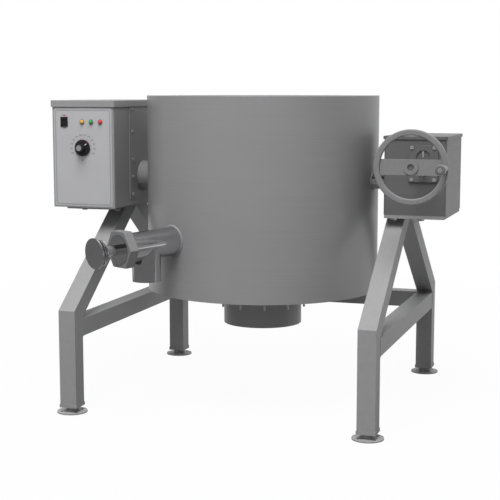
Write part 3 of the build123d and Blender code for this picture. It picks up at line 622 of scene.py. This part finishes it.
def addMarks():
    values = {
        "Count": dial["ticks"], "Radius": dial["tickRadius"], "Start": math.radians(dial["tickStart"]),
        "Sweep": math.radians(dial["tickSweep"]), "Width": dial["tickWidth"], "Length": dial["tickLength"],
        "Depth": dial["thick"], "Material": redInk,
    }
    base = pointMesh("dialMarks", [(0, 0, 0)], [(0, 0, 1)])
    piece = marks.make("dial_marks", base, values, "frame", "label_plate")
    onPlate(piece, knobCentre.x, knobCentre.z, dial["thick"] / 2)


def addText(name, words, size, x, z, ink, weight=0.0):
    curve = bpy.data.curves.new(name, "FONT")
    curve.body = words
    curve.size = size
    curve.align_x = "CENTER"
    curve.align_y = "CENTER"
    curve.extrude = dial["thick"] / 2
    curve.offset = weight
    mesh = plainMesh(linkPiece(name + "Holder", curve))
    mesh.transform(Matrix.Rotation(math.radians(90), 4, "X"))
    piece = linkPiece(name, mesh)
    onPlate(piece, x, z, dial["thick"] / 2)
    finishPiece(piece, "frame", "label_plate", ink)


addMarks()
for k in range(dial["numbers"]):
    share = k / (dial["numbers"] - 1)
    angle = math.radians(dial["numberStart"] + share * dial["numberSweep"])
    x = knobCentre.x + dial["numberRadius"] * math.sin(angle)
    z = knobCentre.z + dial["numberRadius"] * math.cos(angle)
    number = str(dial["firstNumber"] + k * dial["numberStep"])
    addText(f"dial_number_{k}", number, dial["numberSize"], x, z, blackInk)
degreeHeight = knobCentre.z - dial["degreeDrop"]
addText("dial_degree_mark", "\u00b0", dial["degreeSize"], knobCentre.x, degreeHeight, blackInk)

# Pointer line let into the knob's skirt
pointer = {
    "angle": 50, "start": 0.0125, "end": 0.0240, "tip": 0.0042, "width": 0.0016,
    "height": 0.00725, "sunk": 0.0012, "thick": 0.0006,
}


def addPointer(name, start, end, ink):
    half = pointer["width"] / 2
    bottom, top = pointer["height"] - pointer["sunk"], pointer["height"] + pointer["thick"]
    corners = ((-half, start), (half, start), (half, end), (-half, end))
    place = Matrix.Translation(knobCentre) @ Matrix.Rotation(math.radians(90), 4, "X")
    turned = place @ Matrix.Rotation(math.radians(-pointer["angle"]), 4, "Z")
    line = block(name, corners, bottom, top, turned)
    finishPiece(line, "knob", "knob_cap", ink)


addPointer("knob_pointer_line", pointer["start"], pointer["end"] - pointer["tip"], whiteInk)
addPointer("knob_pointer_tip", pointer["end"] - pointer["tip"], pointer["end"], redInk)


def framePath(width, height, radius, steps=8):
    # A rounded rectangle in X and Z about the origin
    points = []
    for cornerX, cornerZ, start in ((1, 1, 0), (-1, 1, 90), (-1, -1, 180), (1, -1, 270)):
        for k in range(steps + 1):
            angle = math.radians(start + 90 * k / steps)
            points.append((
                cornerX * (width / 2 - radius) + radius * math.cos(angle),
                cornerZ * (height / 2 - radius) + radius * math.sin(angle),
            ))
    return points


# Border printed round the label plate
border = {
    "inset": 0.0045, "line": 0.0009, "innerInset": 0.0067, "innerLine": 0.0005,
    "radius": 0.0060, "thick": 0.00012,
}
switchWords = {
    "onSize": 0.0070, "onHeight": 0.0192, "onWeight": 0.00025, "offSize": 0.0060, "offHeight": -0.0190,
}


def addBorder(name, inset, line, ink):
    width = plateHigh[0] - plateLow[0] - 2 * inset
    height = plateHigh[2] - plateLow[2] - 2 * inset
    outer = framePath(width, height, border["radius"])
    inner = framePath(width - 2 * line, height - 2 * line, border["radius"] - line)
    count = len(outer)
    verts = []
    for depth in (0.0, -border["thick"]):
        for ring in (outer, inner):
            verts += [(x, depth, z) for x, z in ring]
    faces = []
    for k in range(count):
        n = (k + 1) % count
        for a, b in ((0, 1), (1, 3), (3, 2), (2, 0)):
            faces.append((a * count + k, a * count + n, b * count + n, b * count + k))
    piece = tidyMesh(meshPiece(name, verts, faces), False)
    centre = middle("label_plate")
    onPlate(piece, centre.x, centre.z)
    finishPiece(piece, "frame", "label_plate", ink)


addBorder("label_border_outer", border["inset"], border["line"], greyInk)
addBorder("label_border_inner", border["innerInset"], border["innerLine"], greyInk)
switchCentre = middle("switch_frame")
onHeight, offHeight = (switchCentre.z + switchWords[word] for word in ("onHeight", "offHeight"))
weight = switchWords["onWeight"]
addText("switch_on_mark", "ON", switchWords["onSize"], switchCentre.x, onHeight, redInk, weight)
addText("switch_off_mark", "OFF", switchWords["offSize"], switchCentre.x, offHeight, blackInk)
print("control panel marked")

# Weld beads where the tubes, plates and valve meet
bead = {"width": 0.0017, "ripple": 0.0034, "seamWidth": 0.0011, "seamInset": 0.002, "ringSteps": 64}
shellWelds = {
    "drawoff": (0.0425, 0.0046), "left_trunnion": (0.0462, 0.0026), "right_trunnion": (0.0254, 0.0026),
}


def addWeld(name, points, body, slot, closed=False, width=None):
    values = {"Width": width or bead["width"], "Ripple": bead["ripple"], "Material": materials[slot]}
    welds.make(name, pathMesh(name, points, closed), values, body, slot)


for side in ("left", "right"):
    crossLow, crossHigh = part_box(side + "_cross_tube")
    for end, y in (("front", crossLow[1]), ("rear", crossHigh[1])):
        corners = [
            (crossLow[0], y, crossLow[2]), (crossHigh[0], y, crossLow[2]),
            (crossHigh[0], y, crossHigh[2]), (crossLow[0], y, crossHigh[2]),
        ]
        addWeld(f"{side}_cross_{end}_weld", corners, "frame", "frame_stainless", True)


def besideShell(origin, direction, radius, angle):
    # Where a line on a round bar's surface leaves the kettle's shell
    along = Vector(direction).normalized()
    across = along.cross(Vector((0, 0, 1))).normalized()
    over = across.cross(along)
    start = Vector(origin) + radius * (math.cos(angle) * across + math.sin(angle) * over) - kettleAxis
    a = along.x ** 2 + along.y ** 2
    b = 2 * (start.x * along.x + start.y * along.y)
    c = start.x ** 2 + start.y ** 2 - shellRadius ** 2
    return start + kettleAxis + along * (-b + math.sqrt(b * b - 4 * a * c)) / (2 * a)


def addShellWeld(name, origin, direction):
    radius, width = shellWelds[name]
    steps = bead["ringSteps"]
    ring = [besideShell(origin, direction, radius, 2 * math.pi * k / steps) for k in range(steps)]
    addWeld(name + "_weld", ring, "kettle", "satin_stainless", True, width)


shellLow, shellHigh = (Vector(corner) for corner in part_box("outer_shell"))
shellRadius = (shellHigh.x - shellLow.x) / 2
kettleAxis = Vector(((shellLow.x + shellHigh.x) / 2, (shellLow.y + shellHigh.y) / 2, 0))
bonnet = middle("valve_bonnet")
leftBar, rightBar = middle("left_trunnion"), middle("right_trunnion")
addShellWeld("drawoff", bonnet - drawoff * 0.5, drawoff)
addShellWeld("left_trunnion", (kettleAxis.x, leftBar.y, leftBar.z), (-1, 0, 0))
addShellWeld("right_trunnion", (kettleAxis.x, rightBar.y, rightBar.z), (1, 0, 0))
seamEnds = (shellLow.z + bead["seamInset"], shellHigh.z - bead["seamInset"])
seam = [(kettleAxis.x, shellHigh.y, z) for z in seamEnds]
addWeld("shell_seam", seam, "kettle", "satin_stainless", False, bead["seamWidth"])
print("welds made")


# Bearing plate of the worm shaft, with the long recess in its face; the bright strips in the recess are a painted
# highlight
bearing = {
    "recess": 0.0194, "rise": 0.0176, "depth": 0.0034, "hole": 0.0096, "corner": 0.005, "chamfer": 0.0006,
    # The strip sizes below set the bright strips that are a painted highlight in the recess
    "painted_highlight": 0.0021, "highlightSunk": 0.0005, "highlightBelow": 0.0008, "highlightInset": 0.0015, "highlightHole": 0.001, "steps": 96,
}


def roundedReach(angle, halfWidth, halfHeight, radius):
    # Distance from the middle to the edge of a rounded rectangle
    x, y = abs(math.cos(angle)), abs(math.sin(angle))
    centreX, centreY = halfWidth - radius, halfHeight - radius
    straight = min(halfWidth / x if x > 1e-9 else math.inf, halfHeight / y if y > 1e-9 else math.inf)
    if straight * x <= centreX or straight * y <= centreY:
        return straight
    b = x * centreX + y * centreY
    return b + math.sqrt(b * b - (centreX ** 2 + centreY ** 2 - radius ** 2))


def ringSolid(name, loops, place):
    # Rings of equally many points, each joined to the next and the last to the first
    count = len(loops[0])
    verts = [point for loop in loops for point in loop]
    faces = []
    for j in range(len(loops)):
        a, b = j * count, (j + 1) % len(loops) * count
        for k in range(count):
            n = (k + 1) % count
            faces.append((a + k, a + n, b + n, b + k))
    return tidyMesh(meshPiece(name, verts, faces, place))


def addBearingPlate():
    low, high = (Vector(corner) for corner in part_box("bearing_plate"))
    centre = (low + high) / 2
    halfWidth, halfHeight = (high.x - low.x) / 2, (high.z - low.z) / 2
    thick = high.y - low.y
    place = aimed((centre.x, high.y, centre.z), (0, -1, 0))
    floor = thick - bearing["depth"]

    def loop(reach, height):
        steps = bearing["steps"]
        angles = [2 * math.pi * (k + 0.5) / steps for k in range(steps)]
        return [(reach(t) * math.cos(t), reach(t) * math.sin(t), height) for t in angles]

    def edge(t):
        return roundedReach(t, halfWidth, halfHeight, bearing["corner"])

    def recess(t):
        half = bearing["recess"]
        return roundedReach(t, half, half + bearing["rise"], half - 1e-5)

    def hole(t):
        return bearing["hole"]

    loops = [
        loop(edge, 0), loop(edge, thick - bearing["chamfer"]),
        loop(lambda t: edge(t) - bearing["chamfer"], thick),
        loop(recess, thick), loop(recess, floor), loop(hole, floor), loop(hole, 0),
    ]
    plate = ringSolid("bearing_plate_faced", loops, place)
    finishPiece(plate, "frame", "gearbox_steel")
    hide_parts("bearing_plate")
    # Bright strips above and below the hole, in the screws' bright steel, are a painted highlight standing in for
    # the highlight line down the bore
    outer = bearing["recess"] + bearing["rise"] - bearing["highlightInset"]
    inner = bearing["hole"] + bearing["highlightHole"]
    half = bearing["painted_highlight"]
    for name, bottom, top in (("upper", inner, outer), ("lower", -outer, -inner)):
        corners = ((-half, bottom), (half, bottom), (half, top), (-half, top))
        sole, crown = floor - bearing["highlightSunk"], thick - bearing["highlightBelow"]
        painted_highlight = block(f"bearing_painted_highlight_{name}", corners, sole, crown, place)
        finishPiece(painted_highlight, "frame", "fastener_steel")


addBearingPlate()


# Screw at the end of the turning handle
endScrew = {"head": 0.0050, "height": 0.0012, "socket": 0.0025, "sunk": 0.0011}


def addEndScrew(name, place, aim, body):
    values = {
        "Head radius": endScrew["head"], "Head height": endScrew["height"],
        "Socket": endScrew["socket"], "Material": materials["fastener_steel"],
    }
    mesh = pointMesh(name, [place], [aim])
    screws.make(name, mesh, values, body, "fastener_steel")


gripLow, gripHigh = (Vector(corner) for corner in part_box("spinner_handle"))
gripEnd = Vector(((gripLow.x + gripHigh.x) / 2, gripLow.y, (gripLow.z + gripHigh.z) / 2))
screwPlace = gripEnd + Vector((0, endScrew["sunk"], 0))
addEndScrew("spinner_end_screw", screwPlace, Vector((0, -1, 0)), "spinner")


# Bezel, card, marks and needle of the pressure gauge
gauge = {
    "turn": -16, "bezel": 0.0330, "glass": 0.0292, "face": 0.0472, "ticks": 21, "sweep": 270,
    "tickShare": 0.84, "tickWidth": 0.0007, "tickLength": 0.0036, "needleTurn": 135, "needleHalf": 0.0008,
    "tail": -0.006, "point": 0.021, "pointHalf": 0.0002, "hole": 0.0004, "cap": 0.0026,
}


def addGauge():
    low, high = (Vector(corner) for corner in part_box("pressure_gauge"))
    turn = math.radians(gauge["turn"])
    out = Vector((-math.sin(turn), math.cos(turn), 0))
    centre = Vector((kettleAxis.x, kettleAxis.y, (low.z + high.z) / 2)) + out * (shellRadius + gauge["face"])
    place = aimed(centre, out)
    bezelEdge = [
        (gauge["glass"], 0.0004), (gauge["bezel"], 0.0004), (gauge["bezel"], 0.0022),
        (gauge["bezel"] - 0.0012, 0.0034), (gauge["glass"] + 0.0008, 0.0034), (gauge["glass"], 0.0026),
    ]
    ring = lathe("gauge_bezel", bezelEdge, place, 64)
    finishPiece(ring, "kettle", "satin_stainless", materials["fastener_steel"])
    hole, glass = gauge["hole"], gauge["glass"]
    card = lathe("gauge_card", [(hole, 0.0001), (glass, 0.0001), (glass, 0.0005), (hole, 0.0005)], place, 64)
    finishPiece(card, "kettle", "satin_stainless", whiteInk)
    values = {
        "Count": gauge["ticks"], "Radius": glass * gauge["tickShare"],
        "Start": math.radians(-gauge["sweep"] / 2), "Sweep": math.radians(gauge["sweep"]),
        "Width": gauge["tickWidth"], "Length": gauge["tickLength"], "Depth": 0.0002, "Material": blackInk,
    }
    base = pointMesh("gaugeMarks", [(0, 0, 0)], [(0, 0, 1)])
    ticks = marks.make("gauge_marks", base, values, "kettle", "satin_stainless")
    upright = Matrix.Rotation(math.radians(-90), 4, "X")
    ticks.data.transform(place @ Matrix.Translation((0, 0, 0.0006)) @ upright)
    half, tip = gauge["needleHalf"], gauge["pointHalf"]
    corners = ((-half, gauge["tail"]), (half, gauge["tail"]), (tip, gauge["point"]), (-tip, gauge["point"]))
    turned = place @ Matrix.Rotation(math.radians(gauge["needleTurn"]), 4, "Z")
    needle = block("gauge_needle", corners, 0.0009, 0.0013, turned)
    finishPiece(needle, "kettle", "satin_stainless", blackInk)
    edge = gauge["cap"]
    cap = lathe("gauge_needle_cap", [(hole, 0.0009), (edge, 0.0009), (edge, 0.0018), (hole, 0.0020)], place, 24)
    finishPiece(cap, "kettle", "satin_stainless", blackInk)


addGauge()
print("fittings made")


# Camera, lights, floor and world
def addCamera():
    data = bpy.data.cameras.new("camera")
    data.lens = camera["lens"]
    item = linkPiece("camera", data)
    item.location = camera["place"]
    item.rotation_euler = (math.radians(90 - camera["down"]), 0, math.radians(camera["turn"]))
    bpy.context.scene.camera = item


def addLights():
    target = (cadLow + cadHigh) / 2
    for name, values in lights.items():
        data = bpy.data.lights.new(name, "AREA")
        data.shape = "DISK"
        data.size = values["size"]
        data.energy = values["power"]
        item = linkPiece(name, data)
        item.location = values["place"]
        item.rotation_euler = (target - item.location).to_track_quat("-Z", "Y").to_euler()
        item.visible_glossy = False


def addFloor():
    reach = room["floorReach"]
    corners = [(-reach, -reach, 0), (reach, -reach, 0), (reach, reach, 0), (-reach, reach, 0)]
    floor = meshPiece("floor", corners, [(0, 1, 2, 3)])
    floor.location.z = -room["floorDrop"]
    material = bpy.data.materials.new("floor")
    material.use_nodes = True
    material.node_tree.nodes.clear()
    paint = Paint(material.node_tree)
    matte = paint.add("ShaderNodeBsdfDiffuse", {}, {"Color": grey(room["floorTone"])})
    glow = paint.add("ShaderNodeEmission", {}, {"Color": (1.0, 1.0, 1.0), "Strength": 1.0})
    spot = paint.add("ShaderNodeTexCoord", {}, output="Object")
    away = paint.add("ShaderNodeVectorMath", {"operation": "LENGTH"}, [spot], 1)
    near, far = room["floorFade"]
    faded = paint.add("ShaderNodeMapRange", {}, [away, near, far, room["nearGlow"], 1.0])
    front, back = room["mirrorFade"]
    shade = paint.add("ShaderNodeMapRange", {}, [paint.axis(spot, 1), front, back, room["frontMirror"], 1.0])
    glossy = paint.add("ShaderNodeLightPath", {}, output="Is Glossy Ray")
    strength = 1.0 - glossy * (1.0 - shade)
    paint.feed(glow.socket.node.inputs["Strength"], strength)
    share = seenRays(paint) * faded
    paint.add("ShaderNodeOutputMaterial", {}, {
        "Surface": paint.add("ShaderNodeMixShader", {}, [share, matte, glow])
    })
    floor.data.materials.append(material)


def seenRays(paint):
    # 1 for what the camera sees directly, mirrored or through glass
    direct = paint.add("ShaderNodeLightPath", {}, output="Is Camera Ray")
    glossy = paint.add("ShaderNodeLightPath", {}, output="Is Glossy Ray")
    through = paint.add("ShaderNodeLightPath", {}, output="Is Transmission Ray")
    return direct.combine("MAXIMUM", direct.combine("MAXIMUM", direct, glossy), through)


def addWorld():
    world = bpy.data.worlds.new("studio")
    bpy.context.scene.world = world
    world.use_nodes = True
    world.node_tree.nodes.clear()
    paint = Paint(world.node_tree)
    direction = paint.add("ShaderNodeTexCoord", {}, output="Generated")
    height = paint.axis(direction, 2) * 0.5 + 0.5
    behind = paint.add("ShaderNodeMapRange", {}, [paint.axis(direction, 1), *mirrored["changeover"]])
    seen = paint.mixColour(behind, paint.ramp(height, mirrored["front"]), paint.ramp(height, mirrored["back"]))
    slant = 1.0 - paint.axis(direction, 0) * sky["leftward"]
    lit = paint.ramp(height, sky["stops"]) * slant
    glossy = paint.add("ShaderNodeLightPath", {}, output="Is Glossy Ray")
    direct = paint.add("ShaderNodeLightPath", {}, output="Is Camera Ray")
    through = paint.add("ShaderNodeLightPath", {}, output="Is Transmission Ray")
    colour = paint.mixColour(glossy, lit, seen)
    white = direct.combine("MAXIMUM", direct, through)
    backdrop = paint.mixColour(white, colour, (1.0, 1.0, 1.0))
    light = paint.add("ShaderNodeBackground", {}, {"Color": backdrop, "Strength": 1.0})
    paint.add("ShaderNodeOutputWorld", {}, {"Surface": light})


addCamera()
addLights()
addFloor()
addWorld()
bpy.context.scene.view_settings.view_transform = "Standard"
print("studio ready")
